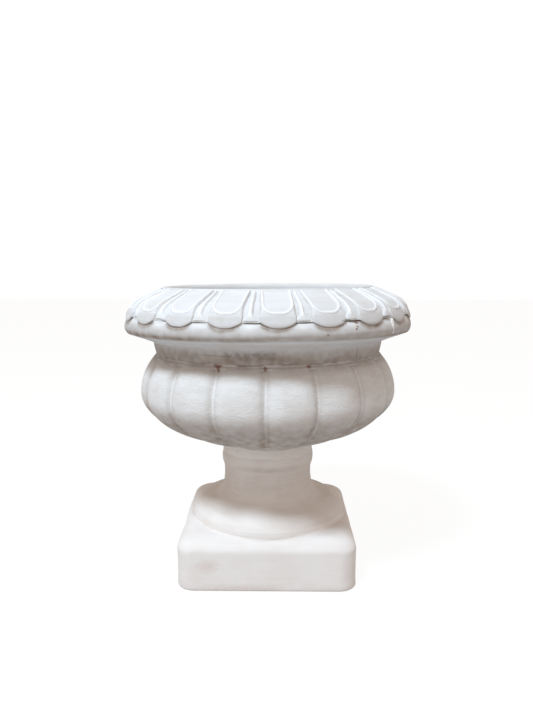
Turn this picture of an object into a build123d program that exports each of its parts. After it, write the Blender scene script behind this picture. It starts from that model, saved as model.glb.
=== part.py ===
from build123d import *
import math
import os

# A classical urn of whitewashed earthenware: a square plinth, a hollow pedestal with a
# half-round foot, a lobed bowl, and a heavy rolled rim dressed with tongues and darts.
# The axis of turning is Z, the floor is Z = 0, and the front of the urn looks along -Y.

# Plinth
plinth_width = 180.0
plinth_height = 54.0
plinth_corner_radius = 18.0
plinth_top_round = 13.0
plinth_bottom_round = 2.5
plinth_wall = 15.0
plinth_hollow_corner_radius = 8.0
plinth_hole_radius = 42.0

# Slip beds that bond the pieces
foot_bed_thickness = 1.5
collar_bed_thickness = 2.0
neck_bed_thickness = 1.5
bed_setback = 1.2

# Pedestal
foot_round = 7.5
foot_shelf = 12.0
foot_wall = 14.0
cove_radius = 17.0
stem_radius = 47.0
stem_height = 17.5
stem_wall = 14.0
collar_height = 17.5
collar_bulge = 2.4
collar_flare = 1.0
pedestal_mouth_inset = 9.0
pedestal_mouth_depth = 10.0

# Bowl
lobe_count = 16
lobe_depth = 4.3
bowl_belly_drop = 58.5
bowl_boss_height = 11.5
bowl_boss_flare = 4.0
bowl_shoulder_height = 38.0
bowl_shoulder_swell = 15.0
bowl_top_ledge = 1.0
bowl_wall = 14.0
bowl_floor_rise = 12.5
drain_radius = 9.0

# Neck and rim
neck_radius = 119.0
neck_wall = 12.5
neck_height = 11.0
soffit_cove_width = 5.0
soffit_cove_height = 4.5
soffit_height = 9.0
crease_setback = 2.9
band_bulge = 2.3
band_height = 17.0
band_ledge = 0.9
valley_round = 24.9
valley_centre_drop = 7.0
slope_angle = 24.0
slope_width = 22.5
lip_thickness = 6.0
lip_rise = 3.2
lip_overhang = 2.1
mouth_wall_height = 40.0

# Tongues and darts laid on the rim
tongue_count = 20
tongue_phase = 3.9
tongue_thickness = 3.0
tongue_start_gap = 1.5
tongue_top_width = 27.0
tongue_lip_width = 32.0
tongue_lip_drop = 4.5
tongue_side_rise = 1.5
panel_border = 3.2
panel_depth = 1.0
panel_end_inset = 6.5
panel_corner_radius = 6.0
dart_thickness = 2.2
dart_top_width = 2.4
dart_end_width = 4.4

# Radii of the pieces that meet
stem_bore_radius = stem_radius - stem_wall
pedestal_mouth_radius = stem_bore_radius - pedestal_mouth_inset
cove_centre_radius = stem_radius + cove_radius
foot_centre_radius = cove_centre_radius + foot_shelf
foot_bore_radius = foot_centre_radius - foot_wall
collar_top_radius = stem_radius + collar_flare
bowl_boss_radius = collar_top_radius + bowl_boss_flare
throat_radius = neck_radius - neck_wall
bowl_top_radius = neck_radius + bowl_top_ledge
bowl_crest_radius = bowl_top_radius + bowl_shoulder_swell
seam_share = 1 - lobe_depth / bowl_crest_radius
mouth_radius = throat_radius - lip_overhang
lip_outer_radius = mouth_radius + lip_thickness
tongue_start_radius = lip_outer_radius + tongue_start_gap
valley_centre_radius = lip_outer_radius + slope_width - valley_round * math.sin(math.radians(slope_angle))
band_top_radius = valley_centre_radius + math.sqrt(valley_round**2 - valley_centre_drop**2) + band_ledge
band_radius = band_top_radius + band_bulge
crease_radius = band_radius - crease_setback
soffit_inner_radius = neck_radius + soffit_cove_width

# Levels above the floor
foot_base = plinth_height + foot_bed_thickness
foot_top = foot_base + 2 * foot_round
stem_base = foot_top + cove_radius
collar_base = stem_base + stem_height
collar_top = collar_base + collar_height
bowl_seat = collar_top + collar_bed_thickness
boss_top = bowl_seat + bowl_boss_height
belly_angle = math.acos(bowl_boss_radius / bowl_crest_radius)
crest_level = boss_top + bowl_belly_drop * math.sin(belly_angle)
bowl_top = crest_level + bowl_shoulder_height
bowl_floor_level = crest_level - bowl_belly_drop + bowl_floor_rise
neck_base = bowl_top + neck_bed_thickness
soffit_base = neck_base + neck_height
soffit_start = soffit_base + soffit_cove_height
crease_level = soffit_start + soffit_height
band_top = crease_level + band_height
valley_level = band_top - valley_centre_drop

SECTION = Plane.XZ
FRONT = -90.0
UPRIGHT = (Align.CENTER, Align.CENTER, Align.MIN)
DIAGONAL = math.sqrt(0.5)


def turn(edges):
    """Revolve a closed outline, drawn as radius and height, about the axis."""
    return revolve(SECTION * make_face(edges), Axis.Z)


def column(radius, base, height):
    """An upright cylinder on the axis, standing at the given height."""
    return Pos(0, 0, base) * Cylinder(radius, height, align=UPRIGHT)


def shoulder_radius(height, crest, top):
    """Radius of the bowl's shoulder arc, which leaves the crest upright and ends at the top."""
    inset = crest - top
    bend = (inset**2 + bowl_shoulder_height**2) / (2 * inset)
    return crest - bend + math.sqrt(bend**2 - height**2)


def lobed_section(crest, level):
    """One level ring of arcs that bow out between the seams."""
    seam = crest * seam_share
    step = 360 / lobe_count
    arcs = []
    for lobe in range(lobe_count):
        start = FRONT + lobe * step
        points = []
        for radius, angle in ((seam, start), (crest, start + step / 2), (seam, start + step)):
            points.append(Vector(radius, 0, level).rotate(Axis.Z, angle))
        arcs.append(ThreePointArc(*points))
    return make_face(arcs)


def valley_point(angle, thickness):
    """Point on the rim's round shoulder, or on a skin of the given thickness over it."""
    radius = valley_centre_radius + (valley_round + thickness) * math.cos(math.radians(angle))
    return radius, valley_level + (valley_round + thickness) * math.sin(math.radians(angle))


def slope_point(radius, thickness):
    """Point on the straight slope that runs from the round shoulder up to the lip."""
    foot_x, foot_y = valley_point(90 - slope_angle, thickness)
    return radius, foot_y + (foot_x - radius) * math.tan(math.radians(slope_angle))


def shoulder_start(thickness, level):
    """Angle at which the round shoulder, or a skin over it, reaches the given level."""
    return math.degrees(math.asin((level - valley_level) / (valley_round + thickness)))


def shoulder_arc(thickness, level):
    """The round shoulder, or a skin over it, from the given level to the slope."""
    start = shoulder_start(thickness, level)
    end = 90 - slope_angle
    angles = (start, (start + end) / 2, end)
    return ThreePointArc(*[valley_point(angle, thickness) for angle in angles])


def rim_skin(thickness, base):
    """A turned layer over the rim's shoulder and slope, solid down to the given level."""
    arc = shoulder_arc(thickness, base)
    top = slope_point(tongue_start_radius, thickness)
    corner = (tongue_start_radius, base)
    return turn([Line(corner, arc @ 0), arc, Line(arc @ 1, top), Line(top, corner)])


def wedge_outline(start_radius, end_radius, start_width, end_width):
    """A tapering outline on the floor plane, pointing to the front."""
    corners = (
        (-start_width / 2, -start_radius),
        (start_width / 2, -start_radius),
        (end_width / 2, -end_radius),
        (-end_width / 2, -end_radius),
    )
    return make_face(Polyline(*corners, close=True))


def make_plinth():
    """The square hollow base, open underneath, with a hole under the pedestal."""
    outline = RectangleRounded(plinth_width, plinth_width, plinth_corner_radius)
    body = extrude(outline, plinth_height)
    body = fillet(body.edges().group_by(Axis.Z)[-1], plinth_top_round)
    body = fillet(body.edges().group_by(Axis.Z)[0], plinth_bottom_round)
    hollow_width = plinth_width - 2 * plinth_wall
    hollow = RectangleRounded(hollow_width, hollow_width, plinth_hollow_corner_radius)
    body -= extrude(hollow, plinth_height - plinth_wall)
    return body - column(plinth_hole_radius, 0, plinth_height)


def make_foot_bed():
    """Slip between the plinth and the flat under the pedestal's foot."""
    bed = column(foot_centre_radius, plinth_height, foot_bed_thickness)
    return bed - column(foot_bore_radius + bed_setback, plinth_height, foot_bed_thickness)


def make_pedestal():
    """Half-round foot, cove, stem and swelling collar, hollow right through."""
    foot_middle = (foot_centre_radius + foot_round, foot_base + foot_round)
    cove_middle = (cove_centre_radius - cove_radius * DIAGONAL, stem_base - cove_radius * DIAGONAL)
    collar_middle = (stem_radius + collar_bulge, collar_base + collar_height / 2)
    shelf_level = collar_top - pedestal_mouth_depth
    corners = {
        "foot_inside": (foot_bore_radius, foot_base),
        "foot_outside": (foot_centre_radius, foot_base),
        "foot_shelf": (foot_centre_radius, foot_top),
        "cove_foot": (cove_centre_radius, foot_top),
        "stem_foot": (stem_radius, stem_base),
        "stem_top": (stem_radius, collar_base),
        "collar_edge": (collar_top_radius, collar_top),
        "mouth_edge": (pedestal_mouth_radius, collar_top),
        "mouth_foot": (pedestal_mouth_radius, shelf_level),
        "bore_top": (stem_bore_radius, collar_base),
        "bore_foot": (stem_bore_radius, stem_base),
    }
    outline = [
        Line(corners["foot_inside"], corners["foot_outside"]),
        ThreePointArc(corners["foot_outside"], foot_middle, corners["foot_shelf"]),
        Line(corners["foot_shelf"], corners["cove_foot"]),
        ThreePointArc(corners["cove_foot"], cove_middle, corners["stem_foot"]),
        Line(corners["stem_foot"], corners["stem_top"]),
        ThreePointArc(corners["stem_top"], collar_middle, corners["collar_edge"]),
        Line(corners["collar_edge"], corners["mouth_edge"]),
        Line(corners["mouth_edge"], corners["mouth_foot"]),
        Line(corners["mouth_foot"], corners["bore_top"]),
        Line(corners["bore_top"], corners["bore_foot"]),
        Line(corners["bore_foot"], corners["foot_inside"]),
    ]
    return turn(outline)


def make_collar_bed():
    """Slip between the pedestal's collar and the boss under the bowl."""
    inner = pedestal_mouth_radius + bed_setback
    bed = column(collar_top_radius, collar_top, collar_bed_thickness)
    return bed - column(inner, collar_top, collar_bed_thickness)


def make_bowl():
    """The lobed bowl, smooth inside, on a short boss with the drain hole through it."""
    sections = []
    belly_steps = 12
    for step in range(belly_steps, 0, -1):
        angle = belly_angle * step / belly_steps
        level = crest_level - bowl_belly_drop * math.sin(angle)
        sections.append(lobed_section(bowl_crest_radius * math.cos(angle), level))
    shoulder_steps = 5
    for step in range(shoulder_steps + 1):
        height = bowl_shoulder_height * step / shoulder_steps
        crest = shoulder_radius(height, bowl_crest_radius, bowl_top_radius)
        sections.append(lobed_section(crest, crest_level + height))
    boss = Cone(collar_top_radius, bowl_boss_radius * seam_share, bowl_boss_height, align=UPRIGHT)
    body = loft(sections) + Pos(0, 0, bowl_seat) * boss

    inner_crest = bowl_crest_radius - bowl_wall
    belly_depth = crest_level - bowl_floor_level
    waist = (shoulder_radius(bowl_shoulder_height / 2, inner_crest, throat_radius),
             crest_level + bowl_shoulder_height / 2)
    belly = EllipticalCenterArc((0, crest_level), inner_crest, belly_depth, start_angle=-90, arc_size=90)
    shoulder = ThreePointArc((inner_crest, crest_level), waist, (throat_radius, bowl_top))
    lid = Line((throat_radius, bowl_top), (0, bowl_top))
    axis = Line((0, bowl_top), (0, bowl_floor_level))
    body -= turn([belly, shoulder, lid, axis])
    return body - column(drain_radius, bowl_seat, bowl_floor_level - bowl_seat + bowl_floor_rise)


def make_neck_bed():
    """Slip between the bowl's top and the neck, set back from both faces."""
    bed = column(bowl_top_radius * seam_share - bed_setback, bowl_top, neck_bed_thickness)
    return bed - column(throat_radius + bed_setback, bowl_top, neck_bed_thickness)


def make_rim():
    """Neck, soffit, rolled band, round shoulder, slope and lip in one heavy ring."""
    cove_middle = (
        soffit_inner_radius - soffit_cove_width * DIAGONAL,
        soffit_base + soffit_cove_height * DIAGONAL,
    )
    arc = shoulder_arc(0, band_top)
    lip_foot = slope_point(lip_outer_radius, 0)
    lip_level = lip_foot[1]
    lip_crown = (mouth_radius + lip_thickness / 2, lip_level + lip_rise)
    wall_foot = (mouth_radius, lip_level - mouth_wall_height)
    outline = [
        Line((throat_radius, neck_base), (neck_radius, neck_base)),
        Line((neck_radius, neck_base), (neck_radius, soffit_base)),
        ThreePointArc((neck_radius, soffit_base), cove_middle, (soffit_inner_radius, soffit_start)),
        Line((soffit_inner_radius, soffit_start), (crease_radius, crease_level)),
        ThreePointArc(
            (crease_radius, crease_level),
            (band_radius, crease_level + band_height / 2),
            (band_top_radius, band_top),
        ),
        Line((band_top_radius, band_top), arc @ 0),
        arc,
        Line(arc @ 1, lip_foot),
        ThreePointArc(lip_foot, lip_crown, (mouth_radius, lip_level)),
        Line((mouth_radius, lip_level), wall_foot),
        Line(wall_foot, (throat_radius, neck_base)),
    ]
    return turn(outline)


def make_tongue(rim):
    """One raised tongue with a sunk panel and a rounded lip that hangs over the band."""
    lip_level = band_top - tongue_lip_drop
    side_level = band_top + tongue_side_rise
    top_level = slope_point(mouth_radius, tongue_thickness)[1]
    reach = band_radius + tongue_thickness
    plan = wedge_outline(tongue_start_radius, reach, tongue_top_width, tongue_lip_width)

    half = tongue_lip_width / 2
    front = make_face([
        ThreePointArc((-half, side_level), (0, lip_level), (half, side_level)),
        Line((half, side_level), (half, top_level)),
        Line((half, top_level), (-half, top_level)),
        Line((-half, top_level), (-half, side_level)),
    ])
    body = rim_skin(tongue_thickness, lip_level)
    body &= Pos(0, 0, lip_level) * extrude(plan, top_level - lip_level)
    body &= extrude(SECTION * front, reach)

    panel = wedge_outline(
        tongue_start_radius + panel_border,
        reach - panel_end_inset,
        tongue_top_width - 2 * panel_border,
        tongue_lip_width - 2 * panel_border,
    )
    panel = fillet(panel.vertices().group_by(Axis.Y)[0], panel_corner_radius)
    sink = Pos(0, 0, side_level) * extrude(panel, top_level - side_level)
    sink -= rim_skin(tongue_thickness - panel_depth, lip_level)
    return body - sink - rim


def make_dart(rim):
    """One thin ridge that stands in the valley between two tongues."""
    top_level = slope_point(mouth_radius, dart_thickness)[1]
    plan = wedge_outline(tongue_start_radius, band_radius, dart_top_width, dart_end_width)
    body = rim_skin(dart_thickness, band_top)
    body &= Pos(0, 0, band_top) * extrude(plan, top_level - band_top)
    return body - rim


def save(shape, name):
    """Write one sub-part to its own file and print its size."""
    size = shape.bounding_box().size
    print(f"{name:12} {size.X:7.1f} {size.Y:7.1f} {size.Z:7.1f} mm  {shape.volume / 1000:8.1f} cm3")
    export_step(shape, f"parts/{name}.step")


def main():
    os.makedirs("parts", exist_ok=True)
    rim = make_rim()
    save(make_plinth(), "plinth")
    save(make_foot_bed(), "foot_bed")
    save(make_pedestal(), "pedestal")
    save(make_collar_bed(), "collar_bed")
    save(make_bowl(), "bowl")
    save(make_neck_bed(), "neck_bed")
    save(rim, "rim")

    tongue = make_tongue(rim)
    dart = make_dart(rim)
    step = 360 / tongue_count
    for number in range(tongue_count):
        angle = tongue_phase + number * step
        save(Rot(0, 0, angle) * tongue, f"tongue_{number + 1:02}")
        save(Rot(0, 0, angle + step / 2) * dart, f"dart_{number + 1:02}")


main()
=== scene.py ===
import math

import bmesh
import bpy
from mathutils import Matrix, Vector, noise


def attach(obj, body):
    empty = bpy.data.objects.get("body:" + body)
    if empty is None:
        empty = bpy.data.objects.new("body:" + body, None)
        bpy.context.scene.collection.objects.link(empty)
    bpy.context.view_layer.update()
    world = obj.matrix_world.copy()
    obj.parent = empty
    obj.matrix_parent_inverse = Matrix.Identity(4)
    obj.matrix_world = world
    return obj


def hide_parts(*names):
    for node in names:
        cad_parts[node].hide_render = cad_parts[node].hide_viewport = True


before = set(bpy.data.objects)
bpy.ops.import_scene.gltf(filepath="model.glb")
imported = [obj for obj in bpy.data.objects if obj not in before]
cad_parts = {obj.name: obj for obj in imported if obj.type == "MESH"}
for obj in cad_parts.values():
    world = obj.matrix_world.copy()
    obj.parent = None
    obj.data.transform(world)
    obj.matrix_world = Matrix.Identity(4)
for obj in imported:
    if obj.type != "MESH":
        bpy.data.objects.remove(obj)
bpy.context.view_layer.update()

# The urn's sizes in millimetres, as in the part but for its worn and pressed surfaces
plinth_width = 180.0
plinth_height = 54.0
plinth_corner = 18.0
plinth_top_inset = 18.0
plinth_top_drop = 14.0
plinth_foot_round = 3.0
plinth_wall = 15.0
plinth_hole = 42.0
plinth_hollow_corner = 8.0
plinth_sag = 0.02

foot_radius = 83.0
foot_rise = 17.5
foot_base = 55.5
foot_half = 21.5
foot_bore = 62.0
stem_radius = 47.0
stem_bore = 33.0
stem_foot = 89.0
collar_foot = 105.0
collar_top = 122.5
pedestal_mouth = 24.0
bead_radius = 49.4
cove_radius = 17.0

lobes = 16
lobe_depth = 5.4
bowl_crest = 135.0
bowl_wall = 14.0
crest_level = 190.0
belly_drop = 58.5
floor_rise = 12.5
shoulder_height = 38.0
bowl_top_radius = 120.0
throat_radius = 106.5
boss_radius = 46.0
boss_top = 133.8
drain_radius = 9.0
bowl_seat = 124.5

neck_radius = 119.0
neck_base = 229.5
mouth_radius = 104.4
mouth_foot = 257.0
lip_round = 3.9
lip_drop = 6.1
lip_top = 299.1
soffit_radius = 124.0
crease_radius = 147.4
crease_level = 254.6
band_radius = 150.0
band_level = 261.6
band_top = 270.4
slit_level = 271.3
slit_radius = 144.4
slope_edge = 146.9
band_reach = 150.2
valley_centre = (122.77, 263.98)
valley_round = 24.9
slope_angle = math.radians(24)
slope_length = 24.6

tongues = 20
tongue_phase = 3.9
tongue_rise = 3.1
panel_rise = 1.9
tongue_lip_reach = 50.3
tongue_scallop = 5.6
dart_rise = 2.5
dart_reach = 44.6

# How far the hand-thrown pieces stray from true
lean = 0.0075
crease_sway = 1.6
marking_drift = 1.2
MM = 0.001


def linear(code):
    """An sRGB hex colour as the linear colour that the shaders work in."""
    parts = [int(code[i:i + 2], 16) / 255 for i in (0, 2, 4)]
    return [p / 12.92 if p <= 0.04045 else ((p + 0.055) / 1.055) ** 2.4 for p in parts] + [1.0]


def add(tree, kind, inputs=(), **settings):
    """Add a node, and set or link its inputs, to another node by that one's first output."""
    node = tree.nodes.new(kind)
    for setting, value in settings.items():
        setattr(node, setting, value)
    for socket, value in dict(inputs).items():
        if isinstance(value, bpy.types.Node):
            value = value.outputs[0]
        if isinstance(value, bpy.types.NodeSocket):
            tree.links.new(value, node.inputs[socket])
        else:
            node.inputs[socket].default_value = value
    return node


# Outlines are lists of (radius, level) in millimetres


def straight(start, end, step=2.0):
    """Points along a straight stretch, without its last one."""
    count = max(1, round(math.dist(start, end) / step))
    return [tuple(a + (b - a) * i / count for a, b in zip(start, end)) for i in range(count)]


def bow(centre, radii, start, end, step=2.0):
    """Points along part of an ellipse, between two angles in degrees, without its last one."""
    turn = math.radians(end - start)
    count = max(2, round(abs(turn) * max(radii) / step))
    angles = [math.radians(start) + turn * i / count for i in range(count)]
    (cx, cy), (rx, ry) = centre, radii
    return [(cx + rx * math.cos(a), cy + ry * math.sin(a)) for a in angles]


def through(start, middle, end, step=2.0):
    """Points along the arc through three points, without its last one."""
    (ax, ay), (bx, by), (cx, cy) = start, middle, end
    d = 2 * (ax * (by - cy) + bx * (cy - ay) + cx * (ay - by))
    squares = [x * x + y * y for x, y in (start, middle, end)]
    ux = (squares[0] * (by - cy) + squares[1] * (cy - ay) + squares[2] * (ay - by)) / d
    uy = (squares[0] * (cx - bx) + squares[1] * (ax - cx) + squares[2] * (bx - ax)) / d
    angles = [math.degrees(math.atan2(y - uy, x - ux)) for x, y in (start, middle, end)]
    first, mid, last = angles
    last += 360 * round((first - last) / 360)
    if not min(first, last) <= mid + 360 * round((first - mid) / 360) <= max(first, last):
        last += 360 if last < first else -360
    radius = math.dist(start, (ux, uy))
    return bow((ux, uy), (radius, radius), first, last, step)


def bell(value, centre, width):
    """A soft hump, 1 at the centre."""
    return math.exp(-(((value - centre) / width) ** 2))


def ease(value):
    """0 below 0, 1 above 1, and a smooth rise between."""
    value = min(1.0, max(0.0, value))
    return value * value * (3 - 2 * value)


def hand(point, size, amount):
    """How far the maker's hand pushed the clay here, in millimetres."""
    return amount * noise.noise(Vector(point) / size)


def around(radius, turn):
    """Level point at a radius, turned from the front towards the right."""
    return radius * math.sin(turn), -radius * math.cos(turn)


def heading(x, y):
    """Turn of a point from the front towards the right, in degrees."""
    return math.degrees(math.atan2(x, -y))


def beside(x, y, count, phase, radius):
    """How far right of the nearest of some even marks round a radius, in millimetres."""
    turn = (heading(x, y) - phase) * count / 360
    return (turn - round(turn)) * 2 * math.pi * radius / count


def past_corner(dx, dy):
    """How far a point is past a rounded corner, from how far it is past both ends."""
    return math.hypot(dx, dy) if dx > 0 and dy > 0 else max(dx, dy)


def finished(name, vertices, faces, marks=None):
    """A mesh object in metres with smooth faces pointing outwards."""
    mesh = bpy.data.meshes.new(name)
    mesh.from_pydata([[c * MM for c in v] for v in vertices], [], faces)
    shell = bmesh.new()
    shell.from_mesh(mesh)
    bmesh.ops.recalc_face_normals(shell, faces=shell.faces)
    shell.to_mesh(mesh)
    shell.free()
    mesh.polygons.foreach_set("use_smooth", [True] * len(mesh.polygons))
    for mark, values in (marks or {}).items():
        mesh.attributes.new(mark, "FLOAT", "POINT").data.foreach_set("value", values)
    piece = bpy.data.objects.new(name, mesh)
    bpy.context.scene.collection.objects.link(piece)
    return piece


def ring(name, rows, marks=None):
    """A closed ring: rows of points round the axis, the last row joined to the first."""
    wide = len(rows[0])
    faces = []
    for j in range(len(rows)):
        for i in range(wide):
            a, b = j * wide, (j + 1) % len(rows) * wide
            k = (i + 1) % wide
            faces.append((a + i, a + k, b + k, b + i))
    points = [p for row in rows for p in row]
    values = {mark: [rule(*p) for p in points] for mark, rule in (marks or {}).items()}
    return finished(name, points, faces, values)


def turned(name, outline, turns, place, marks=None):
    """The outline carried round the axis, each point put where the hand left it."""
    return ring(name, [[place(r, z, t) for t in turns] for r, z in outline], marks)


def capped(name, points, wide, inner, marks):
    """A grid of points, so many to a row, closed behind by faces to one inner point."""
    rows = len(points) // wide - 1
    faces = []
    for j in range(rows):
        for i in range(wide - 1):
            a = j * wide + i
            faces.append((a, a + 1, a + wide + 1, a + wide))
    border = list(range(wide)) + [j * wide + wide - 1 for j in range(1, rows + 1)]
    border += [rows * wide + i for i in range(wide - 2, -1, -1)]
    border += [j * wide for j in range(rows - 1, 0, -1)]
    for a, b in zip(border, border[1:] + border[:1]):
        faces.append((a, len(points), b))
    marks = {mark: values + [0.0] for mark, values in marks.items()}
    return finished(name, points + [inner], faces, marks)


def evenly(count):
    """Turns in radians, spread evenly round the axis."""
    return [2 * math.pi * i / count for i in range(count)]


def dressed(piece, material, slot, *nodes):
    """Give a piece its finish and its body, and hide the CAD nodes it stands for."""
    if material:
        piece.data.materials.clear()
        piece.data.materials.append(material)
    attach(piece, "root")
    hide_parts(*nodes)


# Finishes


def limewash(name, paint, thin, brush, relief=0.6, chips=(), cracks_and_shadow_lines=(), stain=()):
    """Matt lime paint brushed over red earthenware.

    It gives the eye a chalky white with faint brush streaks, warmer where the paint is thin,
    whiter with a painted highlight on the raised ridges and on thick paint, browner with painted
    shade in creases, hollows and undersides and on faces turned from the lamp, with some dust
    there, and dark red where a chip shows the clay. A chip, a crack or a painted shadow line is a
    ragged ellipsoid: its centre and its half sizes.
    """
    material = bpy.data.materials.new(name)
    material.use_nodes = True
    tree = material.node_tree
    tree.nodes.clear()
    place = add(tree, "ShaderNodeTexCoord").outputs["Object"]
    painted_shade_and_dust = add(tree, "ShaderNodeAttribute", attribute_name="painted_shade_and_dust").outputs["Fac"]
    painted_highlight_and_thick_paint = add(tree, "ShaderNodeAttribute", attribute_name="painted_highlight_and_thick_paint").outputs["Fac"]
    smear = add(tree, "ShaderNodeAttribute", attribute_name="smear").outputs["Fac"]

    # Cloudy coats about 30 mm across, and brush streaks as long as the brush was drawn
    clouds = add(tree, "ShaderNodeTexNoise", {"Vector": place, "Scale": 1 / 0.03, "Detail": 4.0})
    per_metre = [1 / (b * MM) for b in brush]
    drawn = add(tree, "ShaderNodeMapping", {"Vector": place, "Scale": per_metre})
    brushed = {"Vector": drawn, "Scale": 1.0, "Detail": 3.0, "Distortion": 0.6}
    streaks = add(tree, "ShaderNodeTexNoise", brushed)
    coat = add(tree, "ShaderNodeMix", {0: 0.5, 2: clouds, 3: streaks})
    worn = add(tree, "ShaderNodeMapRange", {0: coat, 1: 0.42, 2: 0.68, 3: 0.0, 4: 0.6})
    coats = {0: worn, 6: linear(paint), 7: linear(thin)}
    colour = add(tree, "ShaderNodeMix", coats, data_type="RGBA")

    # Painted highlight whitens the raised ridges and thick paint, painted shade with some dust
    # lies in patches about 8 mm across, and a smear of slip breaks up into specks of 4 mm
    patches = add(tree, "ShaderNodeTexNoise", {"Vector": place, "Scale": 1 / 0.008, "Detail": 5.0})
    patchy = add(tree, "ShaderNodeMapRange", {0: patches, 1: 0.3, 2: 0.7, 3: 0.6, 4: 1.0})
    multiply = {"operation": "MULTIPLY", "use_clamp": True}
    shade_and_dust_patches = add(tree, "ShaderNodeMath", {0: painted_shade_and_dust, 1: patchy}, **multiply)
    specks = add(tree, "ShaderNodeTexNoise", {"Vector": place, "Scale": 1 / 0.004, "Detail": 5.0})
    speckled = add(tree, "ShaderNodeMapRange", {0: specks, 1: 0.38, 2: 0.66, 3: 0.3, 4: 1.0})
    smeared = add(tree, "ShaderNodeMath", {0: smear, 1: speckled}, **multiply)
    # FAFAFA is the painted highlight, 97877A the painted shade with dust, 857C76 the smeared slip
    for share, tint in ((painted_highlight_and_thick_paint, "FAFAFA"), (shade_and_dust_patches, "97877A"), (smeared, "857C76")):
        tints = {0: share, 6: colour.outputs[2], 7: linear(tint)}
        colour = add(tree, "ShaderNodeMix", tints, data_type="RGBA")

    # Stains, hairline cracks with some painted shadow lines, and chips, each at its own place, with
    # edges frayed over 3 mm
    frayed = add(tree, "ShaderNodeTexNoise", {"Vector": place, "Scale": 1 / 0.003, "Detail": 4.0})
    kinds = (stain, "CDB0AA", 0.5, 0.1), (cracks_and_shadow_lines, "7C716A", 0.45, 1.3), (chips, "8A5F51", 0.8, 1.3)
    for marks, tint, strength, core in kinds:
        for centre, half_sizes in marks:
            middle, size = [c * MM for c in centre], [h * MM for h in half_sizes]
            offset = add(tree, "ShaderNodeVectorMath", {0: place, 1: middle}, operation="SUBTRACT")
            scaled = add(tree, "ShaderNodeVectorMath", {0: offset, 1: size}, operation="DIVIDE")
            reach = add(tree, "ShaderNodeVectorMath", {0: scaled}, operation="LENGTH")
            frays = {0: frayed, 1: 1.2, 2: reach.outputs["Value"]}
            rough = add(tree, "ShaderNodeMath", frays, operation="MULTIPLY_ADD")
            fade = {0: rough, 1: 1.75, 2: core, 3: 0.0, 4: strength}
            mask = add(tree, "ShaderNodeMapRange", fade)
            tints = {0: mask, 6: colour.outputs[2], 7: linear(tint)}
            colour = add(tree, "ShaderNodeMix", tints, data_type="RGBA")

    # Relief: bristle marks up to the given depth in mm, and a chalky grain drawn coarse enough
    # to show
    grain = add(tree, "ShaderNodeTexNoise", {"Vector": place, "Scale": 1 / 0.0018, "Detail": 2.0})
    bristles = {"Vector": drawn, "Scale": 2.2, "Detail": 4.0, "Distortion": 1.6}
    swept = add(tree, "ShaderNodeTexNoise", bristles)
    marked = add(tree, "ShaderNodeMix", {0: 0.3, 2: swept, 3: grain})
    depth = {"Strength": 0.4, "Distance": relief * MM, "Height": marked}
    normal = add(tree, "ShaderNodeBump", depth)
    shader = add(
        tree, "ShaderNodeBsdfPrincipled",
        {"Base Color": colour.outputs[2], "Roughness": 0.88, "IOR": 1.5, "Normal": normal},
    )
    add(tree, "ShaderNodeOutputMaterial", {"Surface": shader})
    return material


def on_wall(turn, radius, level):
    """Where a mark lies on a turned wall, from its turn in degrees."""
    return (*around(radius, math.radians(turn)), level)


seam_chips = (
    (on_wall(-21.6, 120.5, 229.2), (5.0, 8, 1.5)),
    (on_wall(-21.1, 121.5, 226.5), (1.9, 8, 3.8)),
    (on_wall(-0.4, 121.5, 227.8), (2.2, 8, 2.6)),
    (on_wall(18.8, 120.5, 229.2), (2.3, 8, 1.3)),
)
neck_marks = (
    (on_wall(-24, 119.5, 238.6), (17, 14, 0.55)),
    (on_wall(-2, 119.5, 230.4), (20, 8, 0.5)),
    (on_wall(10, 119.5, 230.8), (12, 8, 0.4)),
    (on_wall(45, 121.0, 236.0), (0.8, 9, 9)),
)
rim_chips = (
    (on_wall(32.9, 149.0, 270.6), (4.6, 5, 1.7)),
    (on_wall(32.7, 149.8, 266.8), (1.5, 4, 1.0)),
    (on_wall(32.2, 149.8, 264.7), (1.4, 4, 0.9)),
    (on_wall(21.0, 149.6, 260.7), (1.5, 3, 0.8)),
    (on_wall(-39.1, 127.5, 292.5), (1.0, 3, 1.0)),
)
band_cracks_and_lip_shadows = (
    (on_wall(28.4, 148.5, 272.6), (5, 6, 1.0)),
    (on_wall(30.6, 148.5, 271.2), (3, 6, 0.9)),
    (on_wall(48.5, 148.0, 273.6), (7, 7, 1.0)),
    # These two on the left are painted shadow lines under the tongues' lips; the others are cracks
    (on_wall(-33, 149.0, 266.5), (6, 6, 0.6)),
    (on_wall(-45, 149.0, 267.0), (4, 6, 0.6)),
)
band_stain = ((on_wall(61.4, 149.6, 267.3), (7, 9, 6)),)
collar_marks = ((on_wall(49.4, 49.4, 126.5), (1.8, 3, 1.4)),)
# A pink stain on the front face, and a pinkish band darker along the foot of the front face
plinth_pink_marks = (((-57.5, -90.0, 27.1), (13, 8, 8)), ((-20.0, -90.0, 4.0), (50, 8, 5)))
rim_paint = limewash(
    "limewash_on_rim", "E6E8EA", "D8D4D0", (45, 45, 3), 0.6,
    rim_chips + seam_chips, neck_marks + band_cracks_and_lip_shadows, band_stain,
)
bowl_paint = limewash("limewash_on_bowl", "E9E8E7", "D6CFC9", (16, 16, 6), 2.4, seam_chips)
pedestal_paint = limewash(
    "limewash_on_pedestal", "F3EEEA", "E3DAD2", (40, 40, 5), 0.6, collar_marks
)
plinth_paint = limewash(
    "limewash_on_plinth", "F6F2EF", "EDE5E0", (60, 60, 9), 0.5, stain=plinth_pink_marks
)
slip_paint = limewash("limewash_over_slip", "F4F0EC", "E4DCD5", (9, 9, 4), 1.2)


# Plinth


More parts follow.
